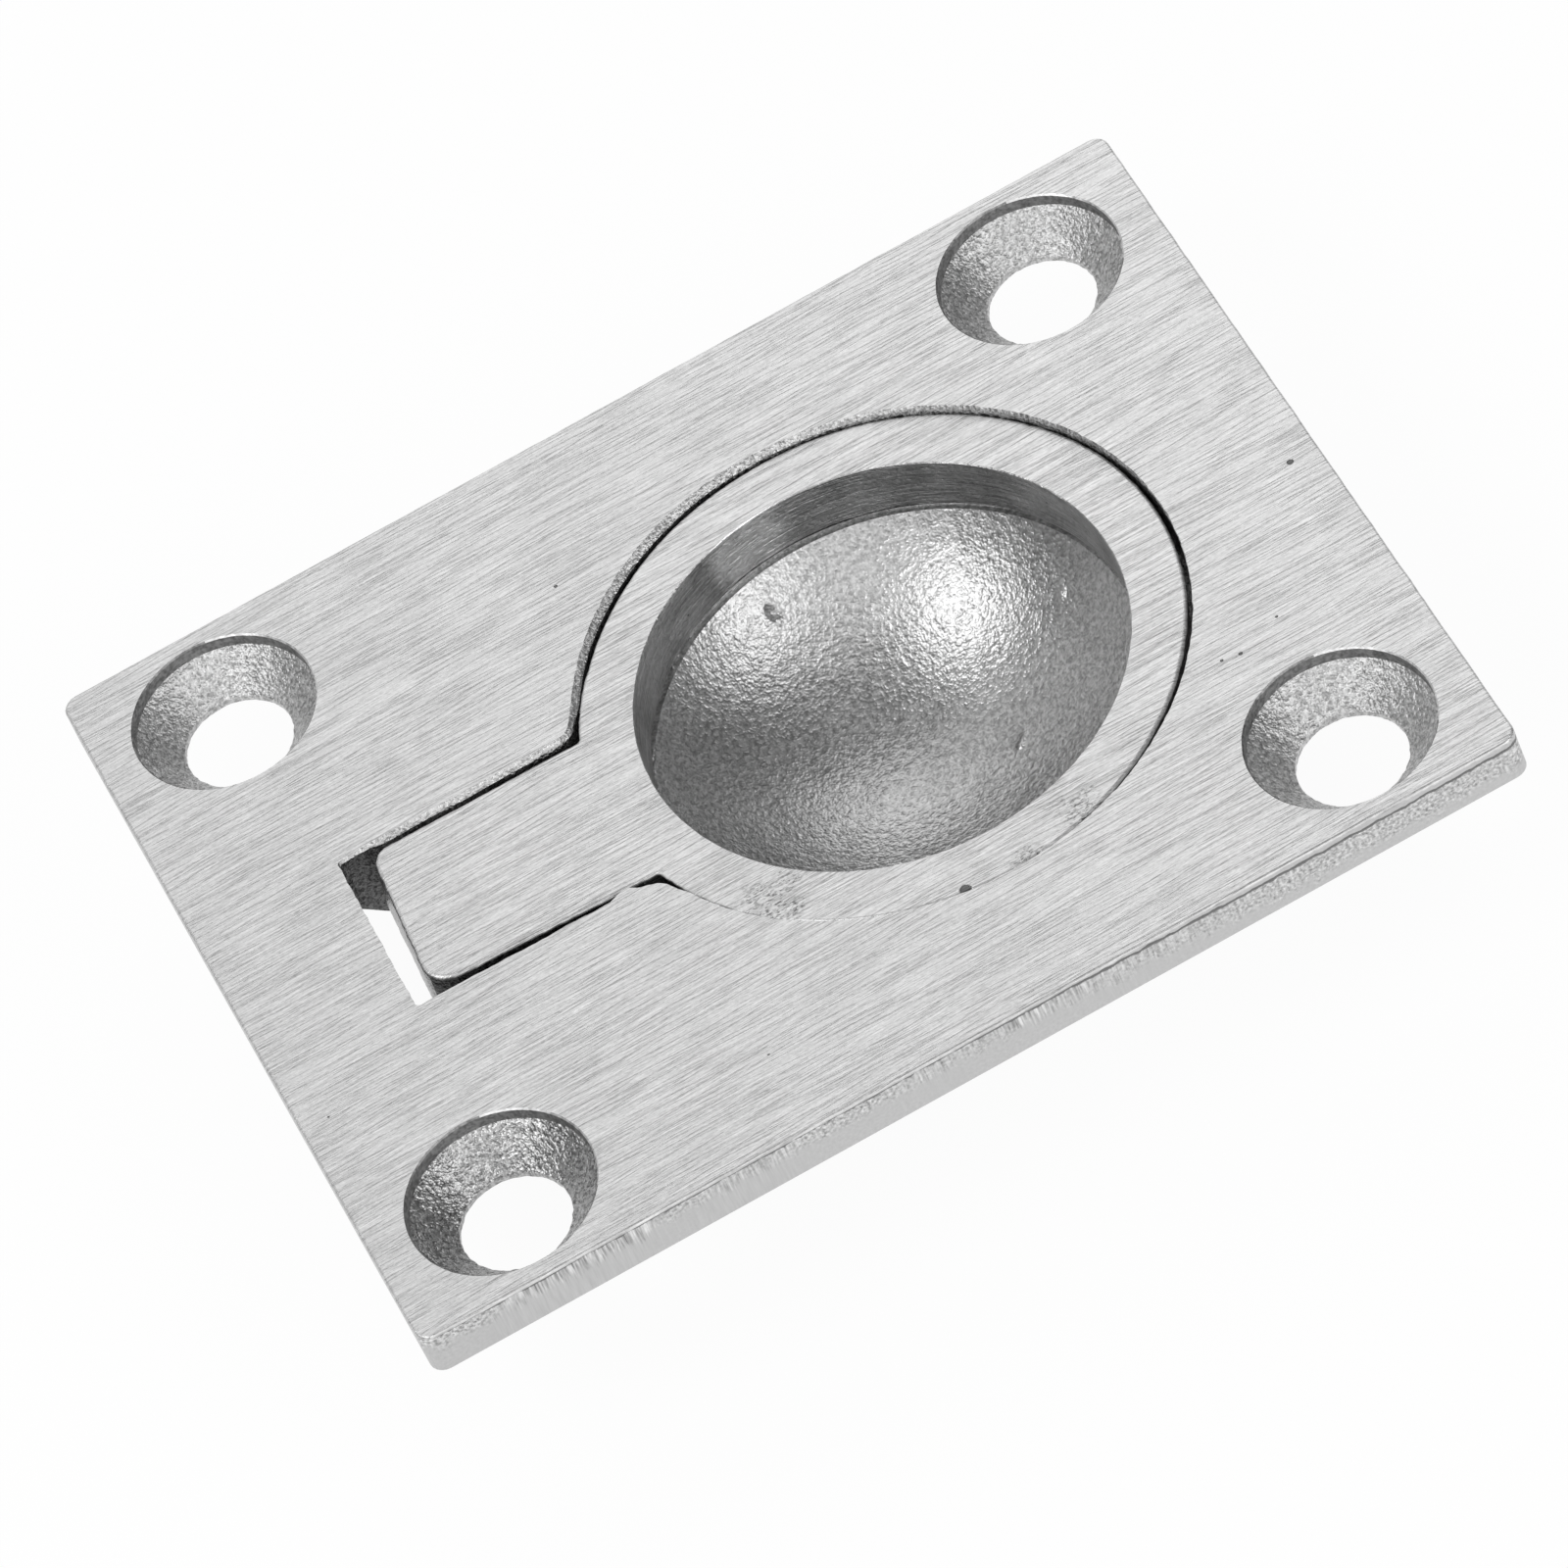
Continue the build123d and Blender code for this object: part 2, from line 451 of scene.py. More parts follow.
@dataclass(frozen=True)
class Nodes:
    """A node tree in the making and, for a pattern, where on the piece a point lies, in metres."""

    tree: bpy.types.NodeTree
    place: Socket | None = None

    def add(self, kind: str, inputs: dict | None = None, **settings) -> bpy.types.Node:
        """Adds a node, sets it up and links it.

        Args:
            kind: The node's type, without the ShaderNode that it starts with.
            inputs: By socket name or number, a value or the output socket that feeds it.
            settings: The node's own properties.

        Returns:
            The node.
        """
        node = self.tree.nodes.new(f"ShaderNode{kind}")
        for key, value in settings.items():
            setattr(node, key, value)
        for key, value in (inputs or {}).items():
            if isinstance(value, bpy.types.NodeSocket):
                self.tree.links.new(value, node.inputs[key])
            else:
                node.inputs[key].default_value = value
        return node

    def combined(self, operation: str, *values: Socket | float) -> Socket:
        """What an operation makes of some values."""
        return self.add("Math", dict(enumerate(values)), operation=operation).outputs[0]

    def largest(self, values: Iterable[Socket]) -> Socket:
        """The largest of some values."""
        return functools.reduce(functools.partial(self.combined, "MAXIMUM"), values)

    def mixed(self, *parts: tuple[Socket, float], base: float = 0.0) -> Socket:
        """Patterns, each given with its weight, added up onto a base."""
        total = base
        for value, weight in parts:
            total = self.combined("MULTIPLY_ADD", value, weight, total)
        return total

    def scaled(self, value: Socket, low: float, high: float, start: float = 0.0, end: float = 1.0) -> Socket:
        """A value taken from the range start to end to the range low to high, and held there."""
        ranges = {"Value": value, "From Min": start, "From Max": end, "To Min": low, "To Max": high}
        return self.add("MapRange", ranges).outputs["Result"]

    def lumps(self, *size: float, detail: float = 2.0, turn: float = 0.0) -> Socket:
        """Noise whose lumps have a real size, drawn out to streaks where one side is long.

        Args:
            size: The lumps' size along X, Y and Z, or one size for all three, in mm.
            detail: How many finer layers it has.
            turn: How far the streaks turn in the face's plane, in degrees.

        Returns:
            The noise, from 0 to 1.
        """
        sides = size if len(size) > 1 else size * 3
        turned = self.add("Mapping", {"Vector": self.place, "Rotation": (0, 0, math.radians(turn))})
        scale = tuple(1 / (side * MM) for side in sides)
        stretched = self.add("Mapping", {"Vector": turned.outputs["Vector"], "Scale": scale})
        cloud = {"Vector": stretched.outputs["Vector"], "Scale": 1.0, "Detail": detail}
        return self.add("TexNoise", cloud).outputs["Fac"]

    def scratches(self, *runs: tuple[float, float, float]) -> Socket:
        """1 on thin scratches, given by their length and width in mm and their turn in degrees."""
        clouds = (self.lumps(length, width, 1.0, detail=0.0, turn=turn) for length, width, turn in runs)
        return self.largest(self.scaled(cloud, 0, 1, 0.64, 0.76) for cloud in clouds)

    def pits(self, spacing: float, radius: float, share: float) -> Socket:
        """1 in small round gas pits, which lie at a share of places that are a spacing in mm apart."""
        cells = self.add("TexVoronoi", {"Vector": self.place, "Scale": 1 / (spacing * MM)})
        full, none = 0.5 * radius / spacing, 1.5 * radius / spacing
        near = self.scaled(cells.outputs["Distance"], 1.0, 0.0, full, none)
        return self.combined("MULTIPLY", near, self.combined("LESS_THAN", cells.outputs["Color"], share))

    def near(self, spot: Spot, full: float, none: float) -> Socket:
        """1 in a spot up to the full share of its radius, and 0 from the none share on."""
        flat = self.add("VectorMath", {0: self.place, 1: (1, 1, 0)}, operation="MULTIPLY")
        centre = (spot.x * MM, spot.y * MM, 0)
        gap = self.add("VectorMath", {0: flat.outputs[0], 1: centre}, operation="DISTANCE")
        reach = spot.radius * MM
        return self.scaled(gap.outputs["Value"], 1, 0, full * reach, none * reach)


@dataclass(frozen=True)
class Steel:
    """Cast stainless steel, a neutral grey metal whose look comes from how its skin was worked."""

    name: str
    dark: str
    light: str
    roughness: tuple[float, float]

    def material(self) -> bpy.types.Material:
        """The finished material."""
        made = bpy.data.materials.new(self.name)
        tree = emptied(made)
        nodes = Nodes(tree, Nodes(tree).add("TexCoord").outputs["Object"])
        tone, height, relief = self.pattern(nodes)
        # a colour mix shares its socket names with number sockets, so these go by place
        colours = {0: tone, 6: linear(self.dark), 7: linear(self.light)}
        blend = nodes.add("Mix", colours, data_type="RGBA")
        bump = nodes.add("Bump", {"Height": height, "Distance": relief * MM, "Strength": 1.0})
        metal = {
            "Base Color": blend.outputs[2],
            "Metallic": 1.0,
            "Roughness": nodes.scaled(tone, *self.roughness),
            "Normal": bump.outputs["Normal"],
        }
        shader = nodes.add("BsdfPrincipled", metal)
        nodes.add("OutputMaterial", {"Surface": shader.outputs["BSDF"]})
        return made

    def pattern(self, nodes: Nodes) -> Pattern:
        """The skin's pattern.

        Args:
            nodes: The material's nodes.

        Returns:
            The tone from 0, dark, to 1, light, the height from 0 to 1 and that height's full reach in mm.
        """
        raise NotImplementedError


@dataclass(frozen=True)
class BrushedSteel(Steel):
    """Stainless steel drawn under an abrasive belt along X: fine straight streaks over a satin grey."""

    grain_width: float = 0.07
    grain_length: float = 3.0
    relief: float = 0.022
    chips: tuple[Spot, ...] = ()
    worn: tuple[Spot, ...] = ()

    def pattern(self, nodes: Nodes) -> Pattern:
        """Belt streaks, long scratches, soft clouds, gas pits and worn patches; see Steel.pattern."""
        width, length = self.grain_width, self.grain_length
        fine = nodes.lumps(length, width, 1.0)
        short = nodes.lumps(length / 3, width * 1.5, 1.0, detail=1.0, turn=-3.0)
        speckle = nodes.lumps(0.25, 0.1, 1.0, detail=1.0)
        clouds = nodes.lumps(6.0, 3.0, 3.0)
        streaks = nodes.mixed((fine, 0.4), (short, 0.3), (speckle, 0.3))
        dark = nodes.scratches((9.0, 0.09, 0.6), (5.0, 0.11, -4.0), (7.0, 0.08, 2.5))
        light = nodes.scratches((6.0, 0.09, 0.2), (3.0, 0.12, -2.0))
        flaws = [nodes.pits(1.3, 0.055, 0.08), *(nodes.near(chip, 0.75, 1.1) for chip in self.chips)]
        if self.worn:
            flaws.append(self._scuffs(nodes))
        pits = nodes.largest(flaws)
        satin = nodes.scaled(streaks, 0, 1, 0.36, 0.64)
        weights = ((satin, 0.42), (clouds, 0.15), (dark, -0.17), (light, 0.14), (pits, -1.0))
        tone = nodes.scaled(nodes.mixed(*weights, base=0.43), 0, 1)
        return tone, nodes.mixed((streaks, 1.0), (dark, -0.4), (pits, -2.5)), self.relief

    def _scuffs(self, nodes: Nodes) -> Socket:
        """Small dark knocks inside the ragged worn patches, from 0 to 1."""
        worn = nodes.largest(nodes.near(spot, 0.0, 1.0) for spot in self.worn)
        small = nodes.scaled(nodes.lumps(0.24, 0.12, 1.0, detail=3.0), 0, 1, 0.5, 0.68)
        ragged = nodes.lumps(1.2, 0.7, 1.0, detail=3.0)
        cover = nodes.scaled(nodes.mixed((worn, 0.6), (ragged, 0.8)), 0, 1, 0.62, 0.9)
        return nodes.scaled(nodes.combined("MULTIPLY", small, cover), 0, 0.65)


@dataclass(frozen=True)
class CastSteel(Steel):
    """Stainless steel as it left a ceramic shell mould: dull, rough and lightly sparkling."""

    grain: float
    relief: float
    dents: tuple[tuple[Spot, float], ...] = ()

    def pattern(self, nodes: Nodes) -> Pattern:
        """Round grains in two sizes over soft clouds; see Steel.pattern."""
        coarse = nodes.lumps(self.grain, detail=1.0)
        fine = nodes.lumps(self.grain / 2.0, detail=1.0)
        clouds = nodes.lumps(2.5)
        grains = nodes.mixed((coarse, 0.75), (fine, 0.25))
        tone = nodes.mixed((nodes.scaled(grains, 0, 1, 0.35, 0.65), 0.7), (clouds, 0.3))
        flaws = [(nodes.near(spot, 0.0, 1.4), -0.6 * depth / self.relief) for spot, depth in self.dents]
        return nodes.scaled(tone, 0, 1, 0.1, 0.9), nodes.mixed((grains, 1.0), *flaws), self.relief


@dataclass(frozen=True)
class GroundSteel(Steel):
    """Stainless steel dressed on a wheel across its thickness: short upright marks under a rolled edge."""

    mark_width: float = 0.13
    mark_length: float = 1.6
    grain: float = 0.2
    relief: float = 0.12
    # in mm, the mean heights of the seam, a groove darkened with painted shade, and of the marks' foot over
    # the plate's underside, and their wander
    seam: float = 2.86
    seam_wander: float = 0.3
    marks_from: float = 1.9
    foot_wander: float = 1.6
    # between these places along X the marks give way to bare cast grain, and the belt rolled the edge over
    bare_from: float = 0.0
    bare_to: float = 18.0

    def pattern(self, nodes: Nodes) -> Pattern:
        """A seam under the rolled edge, sunk as a groove and darkened as painted shade, marks or cast grain
        below it, then smooth; see Steel.pattern.
        """
        apart = nodes.add("SeparateXYZ", {0: nodes.place})
        along, up = apart.outputs["X"], apart.outputs["Z"]
        bare = nodes.scaled(along, 0, 1, self.bare_from * MM, self.bare_to * MM)
        marks = nodes.lumps(self.mark_width, self.mark_width, self.mark_length)
        grain = nodes.lumps(self.grain)
        patches = nodes.scaled(nodes.lumps(9.0, detail=1.0), 0, 1, 0.44, 0.54)
        ragged = nodes.lumps(0.7)
        marked = nodes.mixed((patches, 1.0), (bare, -0.9))
        chosen = nodes.add("Mix", {0: marked, 2: grain, 3: marks}).outputs[0]
        # how far the point lies above the marks' ragged foot and below the seam, in metres
        foot_wander, seam_wander = self.foot_wander * MM, self.seam_wander * MM
        foot_base, seam_base = self.marks_from * MM + foot_wander / 2, self.seam * MM - seam_wander / 2
        above_foot = nodes.mixed((up, 1.0), (ragged, foot_wander), (bare, 1.0 * MM), base=-foot_base)
        below_seam = nodes.mixed((up, -1.0), (ragged, seam_wander), (bare, -0.36 * MM), base=seam_base)
        seam = nodes.scaled(nodes.combined("ABSOLUTE", below_seam), 1, 0, 0.02 * MM, 0.12 * MM)
        lower = nodes.scaled(above_foot, 0.12, 1, -0.2 * MM, 0.4 * MM)
        upper = nodes.scaled(below_seam, 0.1, 1, 0, 0.1 * MM)
        cover = nodes.combined("MULTIPLY", lower, upper)
        height = nodes.combined("MULTIPLY_ADD", nodes.mixed((chosen, 1.0), base=-0.5), cover, 0.5)
        # the seam sinks the height and, through the tone, darkens the colour: a real groove with painted
        # shade for the shadow under the rolled edge
        sunk = nodes.mixed((height, 1.0), (seam, -0.45))
        return nodes.scaled(sunk, 0, 1, 0.25, 0.7), sunk, self.relief


@dataclass(frozen=True)
class BoredSteel(Steel):
    """Stainless steel that a boring tool has passed: level tool lines, fine pits and a lighter patch."""

    # spots round which the tone is lighter in a ragged patch
    worn: tuple[Spot, ...]
    relief: float = 0.14

    def pattern(self, nodes: Nodes) -> Pattern:
        """Level lines over soft clouds, lighter in a ragged patch round each given spot; see Steel.pattern.
        """
        lines = nodes.lumps(3.0, 3.0, 0.09)
        grain = nodes.lumps(0.25)
        clouds = nodes.lumps(3.0)
        ragged = nodes.lumps(1.0, detail=3.0)
        pits = nodes.pits(0.7, 0.05, 0.2)
        parts = [(lines, 0.5), (grain, 0.3), (clouds, 0.5), (pits, -0.8)]
        for spot in self.worn:
            cover = nodes.mixed((nodes.near(spot, 0.4, 1.0), 1.0), (ragged, 1.2))
            parts.append((nodes.scaled(cover, 0, 1, 1.0, 1.6), 0.35))
        height = nodes.mixed((lines, 0.4), (grain, 0.6), (pits, -1.0))
        return nodes.scaled(nodes.mixed(*parts), 0, 1, 0.4, 1.1), height, self.relief


@dataclass(frozen=True)
class DrawnSteel(Steel):
    """Drawn steel wire: smooth, with faint lines along its length."""

    relief: float = 0.002

    def pattern(self, nodes: Nodes) -> Pattern:
        """Faint lines along Y; see Steel.pattern."""
        lines = nodes.lumps(0.08, 6.0, 0.08)
        return lines, lines, self.relief


def finishes(brushed: BrushedSteel) -> dict[Surface, bpy.types.Material]:
    """The material of each surface of one casting, which brings its own brushed face."""
    light_patch = (Spot(3.9, 12.9, 3.4),)
    steels = {
        Surface.BRUSHED: brushed,
        Surface.SIDE: GroundSteel("ground_stainless", "#7A7A7A", "#F0F0F0", (0.38, 0.5)),
        Surface.CAST: CastSteel("cast_stainless", "#7A7A7A", "#CACACA", (0.27, 0.39), 0.23, 0.105),
        Surface.DISH: CastSteel("blasted_stainless", "#989898", "#CCCCCC", (0.31, 0.39), 0.27, 0.064, DENTS),
        Surface.WALL: BoredSteel("bored_stainless", "#6C6C6C", "#FFFFFF", (0.34, 0.42), light_patch),
        Surface.BACK: CastSteel("cast_back_stainless", "#989898", "#DEDEDE", (0.4, 0.5), 0.22, 0.1),
        # the slot's near-black grey is painted shade for the shadow in the slot and in the gap beside the
        # tang
        Surface.SLOT: CastSteel("slot_painted_shade_stainless", "#262626", "#747474", (0.4, 0.5), 0.2, 0.1),
        # the rims' light grey is a painted highlight
        Surface.RIM: CastSteel("rim_painted_highlight_stainless", "#CCCCCC", "#F2F2F2", (0.36, 0.46), 0.3, 0.02),
        # the lip's darker grey is painted shade for the shadow on the countersinks' upright wall
        Surface.LIP: CastSteel("lip_painted_shade_stainless", "#6E6E6E", "#A0A0A0", (0.42, 0.52), 0.3, 0.04),
    }
    return {surface: steel.material() for surface, steel in steels.items()}


# Pieces


@dataclass
class Hinge:
    """The pin's place and size, which the plate, the ring and the pin share, in mm."""

    x: float = -18.9
    z: float = -1.05
    pin_radius: float = 1.0
    bore_play: float = 0.05
    outer_width: float = 16.0
    droop: float = 0.6

    def pull_frame(self) -> Matrix:
        """From the ring's own frame, with its origin at the pin, to the part's, with the ring's droop."""
        return Matrix.Translation((self.x, 0, self.z)) @ Matrix.Rotation(math.radians(self.droop), 4, "Y")


@dataclass
class FacePlate:
    """The casting that sits in the panel: plate, pocket, dish, ears and screw holes, in mm."""

    hinge: Hinge
    finishes: dict[Surface, bpy.types.Material]
    length: float = 63.0
    width: float = 50.0
    thickness: float = 3.0
    corner: float = 0.85
    face_round: float = 0.16
    back_break: float = 0.2
    screw_spacing: tuple[float, float] = (48.4, 37.7)
    screw_bore: float = 3.0
    screw_head: float = 5.05
    screw_lip: float = 0.8
    dish_x: float = 6.3
    pocket_radius: float = 16.7
    flare: float = 0.28
    flare_width: float = 0.38
    far_shift: float = 0.2
    # how far the slot's end leaves the square, as a share of its width
    slot_skew: float = 0.015
    ledge_z: float = -1.335
    channel_half: float = 5.6
    slot_start: float = -23.05
    slot_finish: float = -16.25
    swing_radius: float = 5.3
    dish_rim: float = 13.25
    dish_depth: float = 6.5
    shell: float = 1.8
    shoulder: float = 1.2
    root: float = 0.8
    ear_radius: float = 2.8
    ear_foot: float = -24.55
    # how far the round's edge lies outside the true round, by the angle in degrees
    pocket_rim: Table = (
        (-160, -0.4), (-152, -0.33), (-145, -0.25), (-130, -0.2), (-100, -0.13), (-60, -0.08), (-30, -0.05),
        (0, -0.03), (40, 0.0), (65, 0.02), (100, 0.06), (130, -0.12), (160, -0.2),
    )
    # how much of the broken edge's width the round shows, by the angle in degrees
    broken: Table = ((0, 0.0), (30, 0.15), (65, 0.35), (90, 1.0), (120, 1.0), (140, 0.85))
    # how far the channel's near edge lies towards the tang, by x in mm
    near_edge: Table = (
        (-20.0, 0.16), (-17.0, 0.08), (-12.0, 0.05), (-11.3, 0.32),
        (-10.8, 0.32), (-10.3, -0.05), (-9.6, -0.1),
    )
    # which way the screw holes' rims carry their painted highlight, and how far to each side of it they are
    # painted light, in degrees
    highlight_way: float = 25.0
    highlight_reach: float = 55.0

    def build(self) -> bpy.types.Object:
        """Builds the piece, in metres."""
        casting = Casting("face_plate_cast", self.finishes)
        casting.start(self._slab())
        self._paint_slab(casting.body.data)
        casting.combine("UNION", self._boss(), self._ears(), self._ear_root())
        hollows = (self._pocket(), self._slot(), self._swing_hollow(), self._dish(), self._pin_bore())
        casting.combine("DIFFERENCE", *hollows, *self._screw_holes())
        self._paint_rims(casting.body.data)
        return casting.finished()

    def _paint_rims(self, mesh: bpy.types.Mesh) -> None:
        """Keeps the screw holes' rims painted light, a painted highlight, only towards +X and +Y, and gives
        the rest of each rim the lip's darker grey, painted shade.
        """
        half_x, half_y = (spacing / 2 for spacing in self.screw_spacing)

        def dull(face: bpy.types.MeshPolygon) -> bool:
            """Whether it is a rim's face away from the painted highlight on its hole."""
            x = face.center.x - math.copysign(half_x, face.center.x)
            y = face.center.y - math.copysign(half_y, face.center.y)
            off = abs(math.degrees(math.atan2(y, x)) - self.highlight_way)
            return face.material_index == Surface.RIM.value and off > self.highlight_reach

        # the rims away from the painted highlight take the lip's darker grey, painted shade
        paint(mesh, Surface.LIP, dull)

    def _slab(self) -> Solid:
        """The plate itself, with a rounded face edge and a broken back edge."""
        shape = RoundedRectangle(self.length, self.width, self.corner, 0.3)
        side = np.linspace(self.back_break, self.thickness - self.face_round, 10)
        edge = rounded_edge(self.face_round, self.thickness, 6)
        levels = ((self.back_break, 0.0), *((0.0, z) for z in side), *edge)
        slab = Solid.stacked(((shape.outline(inset), z) for inset, z in levels), Surface.SIDE)
        centre_ward = -slab.points * (1 / self.length, 1 / self.width, 0)
        height = np.clip(slab.points[:, 2] / self.thickness, 0, 1)
        wander = 0.05 + 0.05 * fractal(slab.points, 1.4, 3, 3)
        slab.points = slab.points + centre_ward * (wander * height)[:, None]
        return slab

    def _paint_slab(self, mesh: bpy.types.Mesh) -> None:
        """Gives the slab's face the brushed finish and its underside the cast one."""
        paint(mesh, Surface.BACK, lambda face: face.normal.z < -0.9)
        paint(mesh, Surface.BRUSHED, lambda face: face.center.z > self.thickness - self.face_round)

    def _boss(self) -> Solid:
        """The round boss behind the pocket, with the dome of the dish."""
        sphere, centre_z = self._dish_sphere()
        outer = sphere + self.shell
        floor = self.ledge_z - self.shell
        radius = self.pocket_radius + self.shell
        rim = math.sqrt(outer**2 - (centre_z - floor) ** 2)
        # the dome meets the boss's floor in a hollow about this wide
        blend = 1.5
        angles = np.linspace(0.02, math.asin((rim - blend * 0.6) / outer), 34)
        run = [
            *((outer * math.sin(a), centre_z - outer * math.cos(a)) for a in angles),
            (rim + blend * 0.1, floor - 0.12),
            (rim + blend * 0.7, floor),
            (radius - self.shoulder, floor),
            (radius, floor + self.shoulder),
            (radius, -self.root),
            (radius + self.root, 0.0),
            (radius + self.root, self.thickness / 4),
        ]
        boss = Solid.turned(resampled(run, 0.6), (self.dish_x, 0), 200, Surface.BACK)
        return boss.roughened(0.03, 0.8, 5, sink=0.02)

    def _dish_sphere(self) -> Point:
        """The dish's sphere: its radius and its centre's height."""
        radius = (self.dish_rim**2 + self.dish_depth**2) / (2 * self.dish_depth)
        return radius, self.ledge_z - self.dish_depth + radius

    def _ears(self) -> Solid:
        """The channel's walls and hinge ears, drawn out to the plate and to the boss."""
        x, z = self.hinge.x, self.hinge.z
        floor = self.ledge_z - self.shell
        # the lobe round the pin runs into both flanks along its tangents
        foot, reach = math.hypot(self.ear_foot - x, z), math.hypot(self.dish_x - x, floor - z)
        lean = math.atan2(-z, self.ear_foot - x) + math.acos(self.ear_radius / foot)
        fall = math.atan2(floor - z, self.dish_x - x) - math.acos(self.ear_radius / reach)
        lobe = arc((x, z), self.ear_radius, lean, fall + FULL, 22)
        flank = resampled(((self.dish_x, floor), (self.dish_x, OVERLAP), (self.ear_foot, OVERLAP)), 0.8)
        outline = np.concatenate(([(self.ear_foot, 0.0)], lobe, flank))
        ears = Solid.across(outline, self.hinge.outer_width / 2, 0.5, Surface.BACK)
        return ears.roughened(0.02, 0.8, 6, sink=0.01)

    def _ear_root(self) -> Solid:
        """The sloped root between the ears and the back of the plate."""
        half = self.hinge.outer_width / 2
        levels = []
        for z, spread in ((-self.root, 0.0), (0.0, self.root), (OVERLAP, self.root)):
            x0, x1 = self.ear_foot - spread + self.root, self.dish_x
            y = half + spread
            corners = ((x0, -y), (x1, -y), (x1, y), (x0, y), (x0, -y))
            levels.append((resampled(corners, 1.0)[:-1], z))
        return Solid.stacked(levels, Surface.BACK)

    def _pocket(self) -> Solid:
        """The pocket, whose edges wander as a cast edge does after the face is brushed."""
        corners = {"neck": 1.2, "near_corner": 0.3, "far_corner": 0.3, "spacing": 0.2}
        shape = Keyhole(self.dish_x, self.pocket_radius, self.channel_half, self.slot_start, **corners)
        top = self.thickness
        wall, edge = np.linspace(self.ledge_z, top - self.flare, 13), np.linspace(top - self.flare, top, 5)
        levels = (*((0.0, z) for z in (*wall, *edge[1:-1])), (0.04, top), (0.24, top + 0.4))
        pocket = Solid.stacked(((shape.outline(grow), z) for grow, z in levels), Surface.CAST)
        pocket.bands = ((top - 0.8 * self.flare, Surface.BACK),)
        pocket.points = self._worn_pocket(pocket.points)
        return pocket.roughened(0.04, 0.45, 7, octaves=3)

    def _worn_pocket(self, points: np.ndarray) -> np.ndarray:
        """The pocket's points as the casting really lies: off centre, drafted and with a wavy near side.

        Args:
            points: The true outline's points, in mm.

        Returns:
            The points, moved by a few tenths of a millimetre.
        """
        x, y, z = points.T
        hinge = self.hinge
        # the ledge lies a hair below the ring's underside, which droops away from the pin
        under_ring, hair = PullRing.underside, 0.09
        seat = hinge.z + under_ring - (x - hinge.x) * math.sin(math.radians(hinge.droop)) - hair
        floor = z < self.ledge_z + 0.01
        z = np.where((x > self.slot_finish) & floor, seat, z)
        break_in = self.flare_width * np.clip((self.thickness - z) / self.flare, 0, 1)
        neck_x, neck_width = -9.7, 1.2
        in_round = np.clip((x - neck_x) / neck_width, 0, 1)
        angle = np.arctan2(y, x - self.dish_x)
        degrees = np.degrees(angle)
        outwards = np.interp(degrees, *zip(*self.pocket_rim))
        outwards = (outwards - break_in * np.interp(degrees, *zip(*self.broken))) * in_round
        near_edge = np.interp(x, *zip(*self.near_edge))
        far_edge = self.far_shift - 0.55 * break_in
        waves = 0.05 * fractal(points * (1, 1, 0.3), 2.4, 31, 2)
        sideways = (1 - in_round) * (np.where(y < 0, near_edge, far_edge) + waves)
        x = np.maximum(x, self.slot_start)
        skew = np.where(x < self.slot_start + 1.05, self.slot_skew * (self.channel_half - y), 0.0)
        x, y = x + outwards * np.cos(angle) - skew, y + outwards * np.sin(angle) + sideways
        return np.column_stack((x, y, z))

    def _slot(self) -> Solid:
        """The slot under the tang, open at the back and a little wider towards its end."""
        half, low, start = self.channel_half, -12.0, self.slot_start - 0.05
        near, far, skewed = 0.5 - half, half - 0.05, start - self.slot_skew * 2 * half
        widened_from, widened_by = 3.0, 0.35
        corners = (
            (skewed, near),
            (self.slot_finish, near),
            (self.slot_finish, far),
            (start + widened_from, far),
            (start, far + widened_by),
            (skewed, near),
        )
        outline = resampled(corners, 0.4)[:-1]
        levels = ((outline, z) for z in np.linspace(low, self.thickness - 0.16, 24))
        # the slot's walls take the near-black grey, painted shade for the shadow down in the slot
        return Solid.stacked(levels, Surface.SLOT).roughened(0.02, 0.6, 8)

    def _swing_hollow(self) -> Solid:
        """The hollow behind the slot's end wall that clears the swinging tail."""
        hinge = self.hinge
        outline = arc((hinge.x, hinge.z), self.swing_radius, QUARTER, 3 * QUARTER, 60)
        outline = np.vstack((outline, [(hinge.x, hinge.z - self.swing_radius)]))
        # painted shade here too: the slot's near-black grey
        hollow = Solid.across(outline, self.channel_half - 0.3, 0.5, Surface.SLOT)
        # it follows the channel, which lies a little to the far side
        return hollow.moved(Matrix.Translation((0, 0.12, 0)))

    def _dish(self) -> Solid:
        """The finger dish, a spherical bowl with the pebbled skin of shot blasting."""
        sphere, centre_z = self._dish_sphere()
        count, lip, lid_height = 193, 0.3, 0.6
        axis = np.linspace(-1, 1, count)
        u, v = np.meshgrid(axis, axis, indexing="ij")
        wide = np.abs(u) > np.abs(v)
        reach = np.where(wide, u, v)
        safe = np.where(reach == 0, 1, reach)
